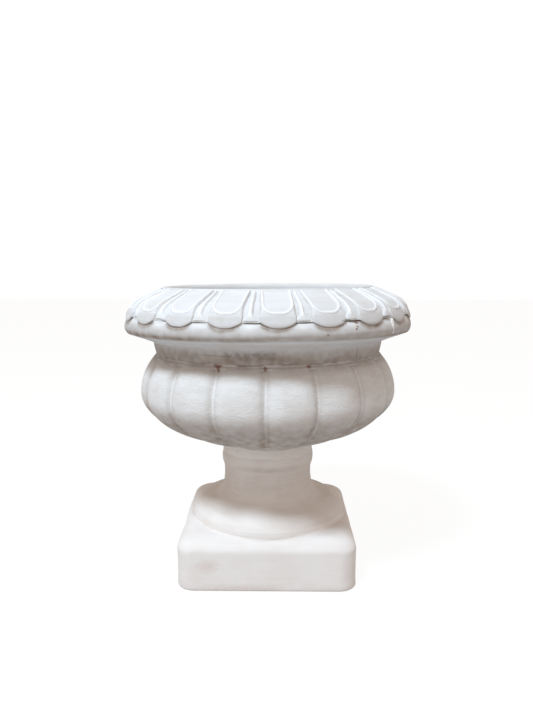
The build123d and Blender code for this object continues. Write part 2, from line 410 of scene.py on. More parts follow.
def rounded_square(half, corner, level):
    """One level ring of the plinth, with the same number of points whatever its size."""
    side_points, corner_points = 44, 20
    corner = min(corner, half)
    points = []
    for quarter in range(4):
        turn = math.radians(90 * quarter)
        flat = half - corner
        edge = [(-flat + 2 * flat * i / side_points, -half) for i in range(side_points)]
        for i in range(corner_points):
            a = math.radians(-90 + 90 * i / corner_points)
            edge.append((flat + corner * math.cos(a), -flat + corner * math.sin(a)))
        for x, y in edge:
            across = x * math.cos(turn) - y * math.sin(turn)
            points.append((across, x * math.sin(turn) + y * math.cos(turn), level))
    return points


def round_hole(radius, level):
    """A circle whose points face those of the square rings."""
    circle = []
    for x, y, _ in rounded_square(plinth_width / 2, plinth_corner, 0):
        reach = math.hypot(x, y)
        circle.append((x * radius / reach, y * radius / reach, level))
    return circle


def plinth_top(x, y):
    """Level of the plinth's top here, with its soft edges and its sag to the front."""
    flat = plinth_width / 2 - plinth_corner
    dx, dy = abs(x) - flat, abs(y) - flat
    inward = plinth_corner - past_corner(dx, dy)
    share = min(1.0, max(0.0, inward / plinth_top_inset))
    edge = plinth_top_drop * (1 - math.sqrt(1 - (1 - share) ** 2))
    return plinth_height - edge + plinth_sag * y


def between(inner, outer, share):
    """Points part of the way from one ring to another."""
    return [tuple(a + (b - a) * share for a, b in zip(p, q)) for p, q in zip(inner, outer)]


def make_plinth():
    """Hollow square plinth with soft worn edges, its top sagging a little towards the front."""
    half = plinth_width / 2
    rows = []
    for i in range(7):
        a = math.radians(90 * i / 6)
        inset = plinth_foot_round * (1 - math.sin(a))
        level = plinth_foot_round * (1 - math.cos(a))
        rows.append(rounded_square(half - inset, plinth_corner - inset * 0.5, level))
    shoulder = plinth_height - plinth_top_drop
    for i in range(1, 16):
        level = plinth_foot_round + (shoulder - plinth_foot_round) * i / 16
        rows.append(rounded_square(half, plinth_corner, level))
    for i in range(15):
        a = math.radians(90 * i / 14)
        inset = plinth_top_inset * (1 - math.cos(a))
        level = shoulder + plinth_top_drop * math.sin(a)
        rows.append(rounded_square(half - inset, plinth_corner - inset * 0.35, level))
    top_inner = round_hole(plinth_hole, plinth_height)
    top_outer = rows[-1]
    for i in range(1, 14):
        rows.append(between(top_outer, top_inner, i / 14))
    under = plinth_height - plinth_wall
    for i in range(6):
        rows.append(round_hole(plinth_hole, plinth_height - plinth_wall * i / 6))
    hollow = half - plinth_wall
    ceiling = rounded_square(hollow, plinth_hollow_corner, under)
    for i in range(8):
        rows.append(between(round_hole(plinth_hole, under), ceiling, i / 8))
    for i in range(14):
        rows.append(rounded_square(hollow, plinth_hollow_corner, under * (1 - i / 14)))
    for i in range(6):
        rows.append(between(rounded_square(hollow, plinth_hollow_corner, 0), rows[0], i / 6))

    def worn(x, y, z):
        """The plinth as it came from the mould and the brush."""
        if z > 1.0 and math.hypot(x, y) > plinth_hole + 1:
            reach = math.hypot(x, y)
            push = hand((x, y, z), 45, 0.9) + hand((x, y, z), 14, 0.25)
            out = ease(z / 8) * push
            x, y = x * (1 + out / reach), y * (1 + out / reach)
            z += ease((z - 30) / 20) * (plinth_sag * y + hand((x, y, z), 40, 0.7))
        limit = plinth_width / 2
        return max(-limit, min(limit, x)), max(-limit, min(limit, y)), z

    rows = [[worn(*p) for p in row] for row in rows]

    def painted_shade_and_dust(x, y, z):
        """Darker towards the bottom of the faces, and painted shade in the groove round the
        pedestal's foot.
        """
        low = 0.12 * (1 - ease((z - 1) / 9))
        foot = 0.1 * bell(math.hypot(x, y), foot_radius, 3) * ease((z - 40) / 8)
        return low + foot

    return ring("plinth_body", rows, {"painted_shade_and_dust": painted_shade_and_dust})


# Pedestal


def make_pedestal():
    """Half-round foot, cove, stem and swelling collar, thrown hollow."""
    cove_centre = (stem_radius + cove_radius + 0.6, stem_foot)
    foot_centre = (foot_radius - foot_half, foot_base - 1.5)
    foot_start = bow(foot_centre, (foot_half, foot_rise), 66, 66.1)[0]
    cove_end = bow(cove_centre, (cove_radius, cove_radius), 250, 251)[0]
    bead_middle = (bead_radius, (collar_foot + collar_top) / 2 + 1.5)
    outline = []
    outline += bow(foot_centre, (foot_half, foot_rise), -14, 66, 1.6)
    outline += straight(foot_start, cove_end, 1.6)
    outline += bow(cove_centre, (cove_radius, cove_radius), 250, 180, 1.6)
    stem_top = (stem_radius + 0.4, collar_foot + 1)
    collar_edge = (stem_radius + 0.6, collar_top + 2)
    outline += through((stem_radius + 0.6, stem_foot), (stem_radius - 0.1, 98), stem_top)
    outline += through(stem_top, bead_middle, collar_edge, 1.2)
    outline += straight(collar_edge, (pedestal_mouth, collar_top + 1), 4)
    outline += straight((pedestal_mouth, collar_top + 1), (pedestal_mouth, collar_top - 10), 4)
    outline += straight((pedestal_mouth, collar_top - 10), (stem_bore, collar_foot), 4)
    outline += straight((stem_bore, collar_foot), (stem_bore, stem_foot), 4)
    outline += straight((stem_bore, stem_foot), (foot_bore, foot_base), 4)
    outline += straight((foot_bore, foot_base), (foot_bore, plinth_height - 5), 3)
    outline += straight((foot_bore, plinth_height - 5), outline[0], 4)

    def place(radius, level, turn):
        x, y = around(1, turn)
        if radius > 40:
            at = (x * 45, y * 45, level)
            radius += hand(at, 22, 0.6) + hand(at, 7, 0.12)
            level += ease((radius - 60) / 15) * 0.018 * y * radius * 0.6
        return x * radius, y * radius, level

    # Painted shade in the hollow under the collar's bead at the front, and on the stem in the
    # bowl's shadow, lifted at the front of the collar
    def painted_shade_and_dust(x, y, z):
        radius = math.hypot(x, y)
        facing = 0.5 + 0.5 * math.cos(math.radians(heading(x, y)) - 0.1)
        under_bead = 0.3 * bell(z, 111.5, 3.5) * ease((radius - 40) / 4) * facing ** 6
        stem = 0.16 * ease((z - 78) / 10) * (1 - facing * ease((z - 109) / 5))
        return min(1.0, under_bead + stem)

    return turned("pedestal_body", outline, evenly(256), place, {"painted_shade_and_dust": painted_shade_and_dust})


# Bowl


def make_bowl():
    """The bowl as it leaves the wheel, before its lobes are pressed in."""
    inner = bowl_crest - bowl_wall
    floor_level = crest_level - belly_drop + floor_rise
    start = -math.degrees(math.acos(boss_radius / bowl_crest))
    inset = bowl_crest - bowl_top_radius
    bend = (inset ** 2 + shoulder_height ** 2) / (2 * inset)
    top_turn = math.degrees(math.asin(shoulder_height / bend))
    inner_inset = inner - throat_radius
    inner_bend = (inner_inset ** 2 + shoulder_height ** 2) / (2 * inner_inset)
    inner_turn = math.degrees(math.asin(shoulder_height / inner_bend))
    bowl_top = crest_level + shoulder_height
    drain_turn = -math.degrees(math.acos(drain_radius / inner))

    outline = bow((0, crest_level), (bowl_crest, belly_drop), start, 0, 2.2)
    outline += bow((bowl_crest - bend, crest_level), (bend, bend), 0, top_turn, 2.0)
    outline += straight((bowl_top_radius - 0.6, bowl_top + 0.4), (throat_radius, bowl_top), 3.0)
    outline += bow((inner - inner_bend, crest_level), (inner_bend, inner_bend), inner_turn, 0, 3.5)
    outline += bow((0, crest_level), (inner, crest_level - floor_level), 0, drain_turn, 4.5)
    outline += straight((drain_radius, floor_level), (drain_radius, bowl_seat), 4.0)
    outline += straight((drain_radius, bowl_seat), (47.3, bowl_seat), 5.0)
    outline += through((47.3, bowl_seat), (46.0, 129.5), (boss_radius - 0.4, boss_top), 1.6)

    turns = []
    per_lobe = 34
    crowding = 0.74
    for lobe in range(lobes):
        for i in range(per_lobe):
            t = i / per_lobe
            t -= crowding / (2 * math.pi) * math.sin(2 * math.pi * t)
            turns.append((lobe + t) * 2 * math.pi / lobes)

    def place(radius, level, turn):
        x, y = around(radius, turn)
        return x, y, level

    def outside(x, y, z):
        """1 on the outer wall, where the lobes are, 0 inside and on the boss."""
        radius = math.hypot(x, y)
        if z > bowl_top + 0.2 or z < boss_top:
            return 0.0
        if z < crest_level:
            below = crest_level - z
            wall = inner * math.sqrt(max(0.0, 1 - (below / (crest_level - floor_level)) ** 2))
            outer = bowl_crest * math.sqrt(max(0.0, 1 - (below / belly_drop) ** 2))
        else:
            height = z - crest_level
            wall = inner - inner_bend + math.sqrt(max(0.0, inner_bend ** 2 - height ** 2))
            outer = bowl_crest - bend + math.sqrt(max(0.0, bend ** 2 - height ** 2))
        return (1.0 if radius > (wall + outer) / 2 else 0.0) * ease((radius - 50) / 12)

    def from_seam(x, y):
        """How far a point lies to the right of the nearest seam."""
        return beside(x, y, lobes, 0, math.hypot(x, y))

    def painted_highlight_and_thick_paint(x, y, z):
        """Painted highlight on the thin bead in each seam."""
        height = (1 - ease((z - 216) / 8)) * ease((z - 136) / 8)
        return 0.75 * bell(from_seam(x, y), 0, 1.0) * height

    # Painted shade: under the rim at the top (there with some brown dust), in the seam hollows,
    # most on the side of each lobe turned from the lamp, and on the bowl's underside
    def painted_shade_and_dust(x, y, z):
        to_seam = from_seam(x, y)
        top = 0.5 * ease((z - 219) / 8)
        seam = 0.26 * bell(to_seam, -3.6, 3.2) + 0.12 * bell(to_seam, 2.4, 1.8)
        low = 0.82 * (1 - ease((z - 163) / 28)) * ease((z - 134) / 12)
        return min(1.0, top + seam + low)

    marks = {"lobed": outside, "painted_shade_and_dust": painted_shade_and_dust, "painted_highlight_and_thick_paint": painted_highlight_and_thick_paint}
    return turned("bowl_body", outline, turns, place, marks)


def shaping_tree(name, sizes):
    """A geometry tree with its sizes as named inputs, and what it is given."""
    tree = bpy.data.node_groups.new(name, "GeometryNodeTree")
    tree.interface.new_socket("Geometry", in_out="INPUT", socket_type="NodeSocketGeometry")
    for size, value in sizes.items():
        kind = "NodeSocketInt" if isinstance(value, int) else "NodeSocketFloat"
        made = tree.interface.new_socket(size, in_out="INPUT", socket_type=kind)
        made.default_value = value
    tree.interface.new_socket("Geometry", in_out="OUTPUT", socket_type="NodeSocketGeometry")
    return tree, add(tree, "NodeGroupInput").outputs


def settle(piece, tree, values=()):
    """Run a geometry tree on a piece, with other sizes where they are given, and keep the mesh."""
    modifier = piece.modifiers.new(tree.name, "NODES")
    modifier.node_group = tree
    for item in tree.interface.items_tree:
        if item.item_type == "SOCKET" and item.in_out == "INPUT" and item.name in values:
            modifier[item.identifier] = values[item.name]
    graph = bpy.context.evaluated_depsgraph_get()
    mesh = bpy.data.meshes.new_from_object(piece.evaluated_get(graph), depsgraph=graph)
    piece.modifiers.remove(modifier)
    piece.data = mesh
    return piece


def lobe_tree(material):
    """Presses round lobes with a thin bead in each seam into a turned bowl."""
    tree, given = shaping_tree("pressed_lobes", {
        "Lobes": float(lobes),
        "Seam Cut": lobe_depth / bowl_crest,
        "Crest Radius": bowl_crest * MM,
        "Fullness": 2.7,
        "Bead Height": 0.0008,
        "Bead Width": 0.0009,
        "Drift": math.radians(marking_drift),
        "Lean": lean,
        "Unevenness": 0.0009,
        "Seed": 7.0,
    })
    here = add(tree, "GeometryNodeInputPosition")
    parts = add(tree, "ShaderNodeSeparateXYZ", {0: here}).outputs

    # Turn from the front, and from the middle of the nearest lobe
    back = add(tree, "ShaderNodeMath", {0: parts[1], 1: -1.0}, operation="MULTIPLY")
    turn = add(tree, "ShaderNodeMath", {0: parts[0], 1: back}, operation="ARCTAN2")
    step = add(tree, "ShaderNodeMath", {0: 2 * math.pi, 1: given["Lobes"]}, operation="DIVIDE")
    half = add(tree, "ShaderNodeMath", {0: step, 1: 0.5}, operation="MULTIPLY")
    counted = add(tree, "ShaderNodeMath", {0: turn, 1: step}, operation="DIVIDE")
    share = add(tree, "ShaderNodeMath", {0: counted}, operation="FRACT")
    centred = add(tree, "ShaderNodeMath", {0: share, 1: 0.5}, operation="SUBTRACT")
    local = add(tree, "ShaderNodeMath", {0: centred, 1: step}, operation="MULTIPLY")

    # Each lobe falls away from its crest slowly at first and faster beside its seams
    size = add(tree, "ShaderNodeMath", {0: local}, operation="ABSOLUTE")
    spread = add(tree, "ShaderNodeMath", {0: size, 1: half}, operation="DIVIDE")
    curve = add(tree, "ShaderNodeMath", {0: spread, 1: given["Fullness"]}, operation="POWER")
    fallen = add(tree, "ShaderNodeMath", {0: curve, 1: given["Seam Cut"]}, operation="MULTIPLY")
    pressed = add(tree, "ShaderNodeMath", {0: 1.0, 1: fallen}, operation="SUBTRACT")

    # The thin bead that stands in each seam
    short = add(tree, "ShaderNodeMath", {0: half, 1: size}, operation="SUBTRACT")
    gap = add(tree, "ShaderNodeMath", {0: short, 1: given["Crest Radius"]}, operation="MULTIPLY")
    scaled = add(tree, "ShaderNodeMath", {0: gap, 1: given["Bead Width"]}, operation="DIVIDE")
    power = add(tree, "ShaderNodeMath", {0: scaled, 1: scaled}, operation="MULTIPLY")
    negative = add(tree, "ShaderNodeMath", {0: power, 1: -1.0}, operation="MULTIPLY")
    hump = add(tree, "ShaderNodeMath", {0: negative}, operation="EXPONENT")
    bead = add(tree, "ShaderNodeMath", {0: hump, 1: given["Bead Height"]}, operation="MULTIPLY")
    bead = add(tree, "ShaderNodeMath", {0: bead, 1: given["Crest Radius"]}, operation="DIVIDE")
    beaded = add(tree, "ShaderNodeMath", {0: pressed, 1: bead}, operation="ADD")

    lobed = add(tree, "GeometryNodeInputNamedAttribute", {0: "lobed"}, data_type="FLOAT")
    change = add(tree, "ShaderNodeMath", {0: beaded, 1: 1.0}, operation="SUBTRACT")
    factor = add(tree, "ShaderNodeMath", {0: change, 1: lobed, 2: 1.0}, operation="MULTIPLY_ADD")
    flat = add(tree, "ShaderNodeCombineXYZ", {0: factor, 1: factor, 2: 1.0})
    shaped = add(tree, "ShaderNodeVectorMath", {0: here, 1: flat}, operation="MULTIPLY")

    # The hand's unevenness, the drift of the marking out, and the lean to one side
    lumps = {"Vector": here, "W": given["Seed"], "Scale": 1 / 0.035, "Detail": 2.0}
    swell = add(tree, "ShaderNodeTexNoise", lumps, noise_dimensions="4D")
    swell = add(tree, "ShaderNodeMath", {0: swell, 1: 0.5}, operation="SUBTRACT")
    swell = add(tree, "ShaderNodeMath", {0: swell, 1: given["Unevenness"]}, operation="MULTIPLY")
    swell = add(tree, "ShaderNodeMath", {0: swell, 1: lobed}, operation="MULTIPLY")
    outwards = add(tree, "GeometryNodeInputNormal")
    push = add(tree, "ShaderNodeVectorMath", {0: outwards, "Scale": swell}, operation="SCALE")
    shaped = add(tree, "ShaderNodeVectorMath", {0: shaped, 1: push}, operation="ADD")
    twice = add(tree, "ShaderNodeMath", {0: turn, 1: 2.0}, operation="MULTIPLY")
    swing = add(tree, "ShaderNodeMath", {0: twice}, operation="SINE")
    drift = add(tree, "ShaderNodeMath", {0: swing, 1: given["Drift"]}, operation="MULTIPLY")
    drift = add(tree, "ShaderNodeMath", {0: drift, 1: -1.0}, operation="MULTIPLY")
    drifted = {"Vector": shaped, "Angle": drift}
    rotated = add(tree, "ShaderNodeVectorRotate", drifted, rotation_type="Z_AXIS")
    after = add(tree, "ShaderNodeSeparateXYZ", {0: rotated}).outputs
    leaning = {0: after[0], 1: given["Lean"], 2: after[2]}
    raised = add(tree, "ShaderNodeMath", leaning, operation="MULTIPLY_ADD")
    final = add(tree, "ShaderNodeCombineXYZ", {0: after[0], 1: after[1], 2: raised})
    moved = add(tree, "GeometryNodeSetPosition", {"Geometry": given["Geometry"], "Position": final})
    real = add(tree, "GeometryNodeRealizeInstances", {0: moved})
    painted = add(tree, "GeometryNodeSetMaterial", {"Geometry": real, "Material": material})
    add(tree, "NodeGroupOutput", {0: painted})
    return tree


# Rim


def valley_floor(distance):
    """Point and outward direction of the rim's dressed slope, at a distance down from the lip."""
    cosine, sine = math.cos(slope_angle), math.sin(slope_angle)
    turn_radius = valley_centre[0] + valley_round * sine
    turn_level = valley_centre[1] + valley_round * cosine
    if distance < slope_length:
        left = slope_length - distance
        return turn_radius - left * cosine, turn_level + left * sine, sine, cosine
    angle = math.pi / 2 - slope_angle - (distance - slope_length) / valley_round
    out, up = math.cos(angle), math.sin(angle)
    return valley_centre[0] + valley_round * out, valley_centre[1] + valley_round * up, out, up


def leaned(x, y, z):
    """The rim leans a little to the left, as it does on the wheel."""
    return x, y, z + lean * x


def make_rim():
    """Neck, soffit, rolled band, dressed slope and lip, thrown as one heavy ring."""
    crown = mouth_radius + lip_round
    slit_edge, slit_end = (slope_edge, slit_level + 0.4), (slit_radius, slit_level)
    slit_foot, band_edge = (slit_radius + 0.2, slit_level - 0.7), (146.4, band_top)
    band_crest, crease = (band_radius, band_level), (crease_radius, crease_level)
    soffit_edge, neck_top = (soffit_radius, 244.9), (120.6, 240)
    outline = straight((throat_radius, neck_base), (mouth_radius, mouth_foot), 4.0)
    outline += straight((mouth_radius, mouth_foot), (mouth_radius, lip_top - 6.3), 4.0)
    outline += bow((crown, lip_top - lip_drop), (lip_round, lip_drop), 180, 90, 0.9)
    outline += bow((crown, lip_top - 2.1), (2.2, 2.1), 90, 15, 0.8)
    outline += [valley_floor(0.6 + i * 1.6)[:2] for i in range(28)]
    outline += straight((slope_edge, slit_level + 1.0), slit_edge, 0.6)
    outline += straight(slit_edge, slit_end, 0.9)
    outline += straight(slit_end, slit_foot, 0.8)
    outline += straight(slit_foot, band_edge, 0.9)
    outline += through(band_edge, (148.6, 266.4), band_crest, 1.2)
    outline += through(band_crest, (149.5, 257.6), crease, 1.0)
    outline += through(crease, (135.5, 250.1), soffit_edge, 1.6)
    outline += through(soffit_edge, (121.4, 243.4), neck_top, 1.2)
    outline += through(neck_top, (119.5, 235), (neck_radius - 0.6, neck_base + 0.6), 1.8)
    outline += straight((neck_radius - 1.4, neck_base), (throat_radius, neck_base), 4.0)

    def place(radius, level, turn):
        x, y = around(1, turn)
        at = (x * 130, y * 130, level)
        if radius > 112:
            level += crease_sway * bell(level, crease_level - 1, 6.5) * math.cos(2 * turn)
            radius += hand(at, 40, 0.7) + hand(at, 11, 0.2)
            level += hand((at[0] + 300, at[1], at[2]), 45, 0.6)
        if 144 < radius < 148 and abs(level - slit_level) < 1.6:
            # Slip fills the slit here and there, most of all at the left
            filled = ease(0.3 + 2.2 * hand((at[0], at[1], 0), 9, 1.0) - 0.5 * x)
            radius += (147.2 - radius) * filled * ease((148 - radius) / 0.8)
        radius = min(radius, band_reach)
        return leaned(x * radius, y * radius, level)

    def painted_shade_and_dust(x, y, z):
        """Painted shade deep in the mouth, in the crease with some dust, on the band's lower half,
        under the lips, in the slit, on the neck and soffit, and in the valleys away from the lamp;
        a darker line on the lip's crest.
        """
        radius, level = math.hypot(x, y), z - lean * x
        if radius < 111:
            # Painted shade deeper down inside the mouth, and a darker line along the lip's crest
            worn = 0.3 * ease((level - 298.3) / 0.6) * ease((radius - 106) / 2)
            return 0.12 * (1 - ease((z - 275) / 20)) + worn
        crease = 0.8 * bell(z, crease_level - 0.3, 2.4) * ease((radius - 138) / 8)
        band = 0.6 * (1 - ease((z - 257) / 17)) * ease((radius - 146) / 3)
        slit_depth = (1 - ease((radius - 145.6) / 1.3)) * ease(radius - 143)
        slit = 0.9 * bell(level, slit_level - 0.1, 0.9) * slit_depth
        low_neck = (1 - ease((z - 234) / 13)) * (1 - ease((radius - 124) / 6))
        neck = (0.62 + 0.2 * bell(heading(x, y), 2, 22)) * low_neck
        share = abs(beside(x, y, tongues, tongue_phase, band_radius)) / half_width(44)
        lip_edge = valley_floor(tongue_lip_reach - tongue_scallop * min(1.0, share) ** 2.2)[1]
        lip_width = (1 - ease((share - 0.8) / 0.2)) * ease((radius - 140) / 4)
        under_lip = 0.8 * bell(level, lip_edge - 1.9, 2.1) * lip_width
        soffit = 0.3 * (1 - ease((z - 250) / 4))
        valley = 0.2 * ease((z - 272) / 4) * (0.35 + 0.65 * ease((x + 90) / 120))
        return min(1.0, crease + band + slit + under_lip + neck + soffit + valley)

    def smear(x, y, z):
        """Slip wiped along the neck at the front, where its top was joined."""
        turn = heading(x, y)
        along = ease((turn + 21) / 5) * (1 - ease((turn - 2) / 5))
        return 0.8 * along * bell(z, 239.6, 3.4) * (1 - ease((math.hypot(x, y) - 124) / 4))

    def painted_highlight_and_thick_paint(x, y, z):
        """Painted highlight on the band under each dart, where no lip hangs over it."""
        away = beside(x, y, tongues, tongue_phase + 180 / tongues, band_radius)
        patch = bell(z - lean * x, 267.2, 2.6) * bell(away, 0, 5.5)
        patch *= ease((math.hypot(x, y) - 144) / 2)
        return patch * (0.45 + 0.9 * abs(hand((x, y, 0), 12, 1.0)))

    marks = {"painted_shade_and_dust": painted_shade_and_dust, "smear": smear, "painted_highlight_and_thick_paint": painted_highlight_and_thick_paint}
    return turned("rim_body", outline, evenly(480), place, marks)


def half_width(distance):
    """Half the width of a tongue, where its flank meets the valley."""
    return 14.2 + 2.1 * ease(distance / 44)


def tongue_height(across, distance):
    """How high a tongue stands over the valley: a sunk panel in a round border, and a lip."""
    panel_half = 12.1 + 0.5 * ease(distance / 34)
    panel_end, corner = 38.2, 9.6
    dx = abs(across) - (panel_half - corner)
    dy = distance - (panel_end - corner)
    inside = corner - past_corner(dx, dy)
    outer = 2.5 if distance < panel_end - corner else 2.0
    floor = panel_rise if inside > 0 else outer
    height = floor + (tongue_rise - floor) * bell(inside, 0, 1.0)
    lip = ease((distance - 35) / 6)
    height += lip * (0.35 * ease((distance - 41) / 8) - 0.1)
    flank = half_width(distance) - panel_half - 0.4
    flank += (1.6 - flank) * ease((distance - panel_end + 2) / 5)
    edge = half_width(distance) - abs(across)
    return -0.7 + (height + 0.7) * ease(edge / flank)


def inside_valley(distance):
    """A point 3 mm inside the valley floor at the front, where an ornament's back closes."""
    radius, level, out, up = valley_floor(distance)
    return 0, -(radius - 3 * out), level - 3 * up


def make_tongue():
    """One tongue at the front, before it is repeated round the rim."""
    columns, rows, tuck = 46, 56, 5
    points, painted_shade_and_dust, painted_highlight_and_thick_paint = [], [], []
    for j in range(rows + tuck + 1):
        for i in range(columns + 1):
            t = 2 * i / columns - 1
            t = t + 0.16 * math.sin(math.pi * t)
            share = min(1.0, j / rows)
            end = tongue_lip_reach - tongue_scallop * abs(t) ** 2.2
            distance = 0.9 + (end - 0.9) * share
            across = t * half_width(distance)
            height = tongue_height(across, distance)
            if j < 2:
                height -= (2 - j) * 0.5
            if j > rows:
                under = (j - rows) / tuck
                distance += 0.7 * math.sin(math.pi * min(1.0, under * 1.6)) - 1.2 * under
                height = height * (1 - under) - 1.6 * under
            elif j > rows - 3:
                height -= 0.35 * (1 - (rows - j) / 3) ** 2
            radius, level, out, up = valley_floor(distance)
            radius += out * height
            x, y = around(radius, across / max(radius, 1))
            points.append((x, y, level + up * height))
            # Painted shade low on the flanks, on the lip face and under the tucked lip edge
            foot = 0.36 * (1 - ease((height - 0.4) / 2.2)) * ease(distance / 8)
            lip_face = 0.18 * ease((distance - 39.5) / 2.5)
            painted_shade_and_dust.append(min(1.0, foot + lip_face + (0.5 if j > rows + 1 else 0.0)))
            # Painted highlight on the raised border round the panel
            painted_highlight_and_thick_paint.append(ease((height - 2.55) / 0.4))
    marks = {"painted_shade_and_dust": painted_shade_and_dust, "painted_highlight_and_thick_paint": painted_highlight_and_thick_paint}
    return capped("tongues", points, columns + 1, inside_valley(26), marks)


def make_dart():
    """One dart at the front: a thin rib that spreads into a blunt arrow at its foot."""
    columns, rows, tuck = 16, 44, 4
    points, painted_shade_and_dust, painted_highlight_and_thick_paint = [], [], []
    for j in range(rows + tuck + 1):
        share = min(1.0, j / rows)
        distance = 1.4 + (dart_reach - 1.4) * share
        spread = ease((distance - 35.5) / 9)
        half = 2.0 + 0.9 * share + 5.6 * spread ** 1.6
        top = (dart_rise + 0.3 * share) * (1 - 0.42 * spread)
        for i in range(columns + 1):
            t = 2 * i / columns - 1
            across = t * half
            height = -0.6 + (top + 0.6) * (1 - abs(t) ** (1.6 + 1.6 * spread))
            if j < 2:
                height -= (2 - j) * 0.6
            down = distance
            if j > rows:
                under = (j - rows) / tuck
                down += 0.5 * math.sin(math.pi * under) - 0.3 * under
                height = height * (1 - under) - 2.0 * under
            radius, level, out, up = valley_floor(down)
            radius += out * height
            x, y = around(radius, across / radius)
            points.append((x, y, level + up * height))
            # Painted shade at the rib's foot and under its tucked end; painted highlight on the
            # rib's top
            foot = 0.3 * (1 - ease((height + 0.3) / 1.2))
            painted_shade_and_dust.append(foot + (0.6 if j > rows + 1 else 0.0))
            painted_highlight_and_thick_paint.append(ease((height - 1.7) / 0.7))
    marks = {"painted_shade_and_dust": painted_shade_and_dust, "painted_highlight_and_thick_paint": painted_highlight_and_thick_paint}
    return capped("darts", points, columns + 1, inside_valley(24), marks)


def dressing_tree(name, material):
    """Repeats one moulded ornament round the rim, each a little out of true."""
    tree, given = shaping_tree(name, {
        "Count": tongues,
        "Phase": math.radians(tongue_phase),
        "Slip": math.radians(0.5),
        "Width Change": 0.03,
        "Lean": lean,
        "Unevenness": 0.0007,
        "Seed": 3,
    })
    line = add(tree, "GeometryNodeMeshLine", {"Count": given["Count"], "Offset": (0.0, 0.0, 0.0)})
    index = add(tree, "GeometryNodeInputIndex")
    step = add(tree, "ShaderNodeMath", {0: 2 * math.pi, 1: given["Count"]}, operation="DIVIDE")
    even = {0: index, 1: step, 2: given["Phase"]}
    turn = add(tree, "ShaderNodeMath", even, operation="MULTIPLY_ADD")
    drawn = {2: -1.0, 3: 1.0, "ID": index, "Seed": given["Seed"]}
    jitter = add(tree, "FunctionNodeRandomValue", drawn, data_type="FLOAT").outputs[1]
    slipped = {0: jitter, 1: given["Slip"], 2: turn}
    turn = add(tree, "ShaderNodeMath", slipped, operation="MULTIPLY_ADD")
    rotation = add(tree, "ShaderNodeCombineXYZ", {2: turn})
    other_seed = add(tree, "ShaderNodeMath", {0: given["Seed"], 1: 11.0}, operation="ADD")
    drawn = {2: -1.0, 3: 1.0, "ID": index, "Seed": other_seed}
    change = add(tree, "FunctionNodeRandomValue", drawn, data_type="FLOAT").outputs[1]
    widened = {0: change, 1: given["Width Change"], 2: 1.0}
    width = add(tree, "ShaderNodeMath", widened, operation="MULTIPLY_ADD")
    scale = add(tree, "ShaderNodeCombineXYZ", {0: width, 1: 1.0, 2: 1.0})
    copies = {"Points": line, "Instance": given["Geometry"], "Rotation": rotation, "Scale": scale}
    placed = add(tree, "GeometryNodeInstanceOnPoints", copies)
    real = add(tree, "GeometryNodeRealizeInstances", {0: placed})
    here = add(tree, "GeometryNodeInputPosition")
    outwards = add(tree, "GeometryNodeInputNormal")
    lumps = {"Vector": here, "W": 4.0, "Scale": 1 / 0.016, "Detail": 2.0}
    swell = add(tree, "ShaderNodeTexNoise", lumps, noise_dimensions="4D")
    swell = add(tree, "ShaderNodeMath", {0: swell, 1: 0.55}, operation="SUBTRACT")
    swell = add(tree, "ShaderNodeMath", {0: swell, 1: given["Unevenness"]}, operation="MULTIPLY")
    push = add(tree, "ShaderNodeVectorMath", {0: outwards, "Scale": swell}, operation="SCALE")
    side = add(tree, "ShaderNodeSeparateXYZ", {0: here})
    up = add(tree, "ShaderNodeMath", {0: side, 1: given["Lean"]}, operation="MULTIPLY")
    rise = add(tree, "ShaderNodeCombineXYZ", {2: up})
    offset = add(tree, "ShaderNodeVectorMath", {0: push, 1: rise}, operation="ADD")
    moved = add(tree, "GeometryNodeSetPosition", {"Geometry": real, "Offset": offset})
    painted = add(tree, "GeometryNodeSetMaterial", {"Geometry": moved, "Material": material})
    add(tree, "NodeGroupOutput", {0: painted})
    return tree


def make_slip(name, low, middle, high, inner, uneven, tilt=0.0, rest=None):
    """Slip wiped into a joint with a finger: a hollow or round edge through three points.

    rest gives the level of an uneven surface under it, and its lower edge then follows that.
    """
    outline = through(low, middle, high, 0.6)
    outline += straight(high, (inner, high[1]), 4.0)
    outline += straight((inner, high[1]), (inner, low[1] - 2), 2.0)
    outline += straight((inner, low[1] - 2), (low[0], low[1] - 2), 4.0)
    outline += straight((low[0], low[1] - 2), low, 1.0)

    def place(r, z, turn):
        x, y = around(1, turn)
        if r > min(low[0], high[0]) - 1:
            at = (x * r, y * r, z)
            r += hand(at, 11, uneven) + hand(at, 4, uneven * 0.3)
        if rest:
            z += (rest(x * r, y * r) - plinth_height) * ease((high[1] - z) / 4)
        return x * r, y * r, z + tilt * lean * x * r

    # Painted shade on the neck's slip under the rim, as on the bowl's top; none on the lower slips
    def painted_shade_and_dust(x, y, z):
        return 0.5 * ease((z - 200) / 20)

    return turned(name, outline, evenly(320), place, {"painted_shade_and_dust": painted_shade_and_dust})


def make_paint_run():
    """A run of white paint down the band, right of the front."""
    columns, rows = 8, 22
    points = []
    for j in range(rows + 1):
        share = j / rows
        level = 271.0 - 14.5 * share
        half = 3.0 - 1.5 * share + 0.6 * bell(share, 0.93, 0.08)
        if j in (0, rows):
            half = 0.1
        for i in range(columns + 1):
            t = 2 * i / columns - 1
            rise = 0.9 * math.sqrt(max(0.0, 1 - t * t)) - 0.5
            bulge = band_radius - 0.028 * (level - band_level) ** 2
            turn = math.radians(52.1 - 0.2 * share) + t * half / 150
            x, y = around(min(bulge + rise, 150.3), turn)
            points.append(leaned(x, y, level))
    inner = leaned(*around(147.0, math.radians(52.0)), 263)
    marks = {"painted_highlight_and_thick_paint": [1.0] * len(points)}
    return capped("paint_run", points, columns + 1, inner, marks)


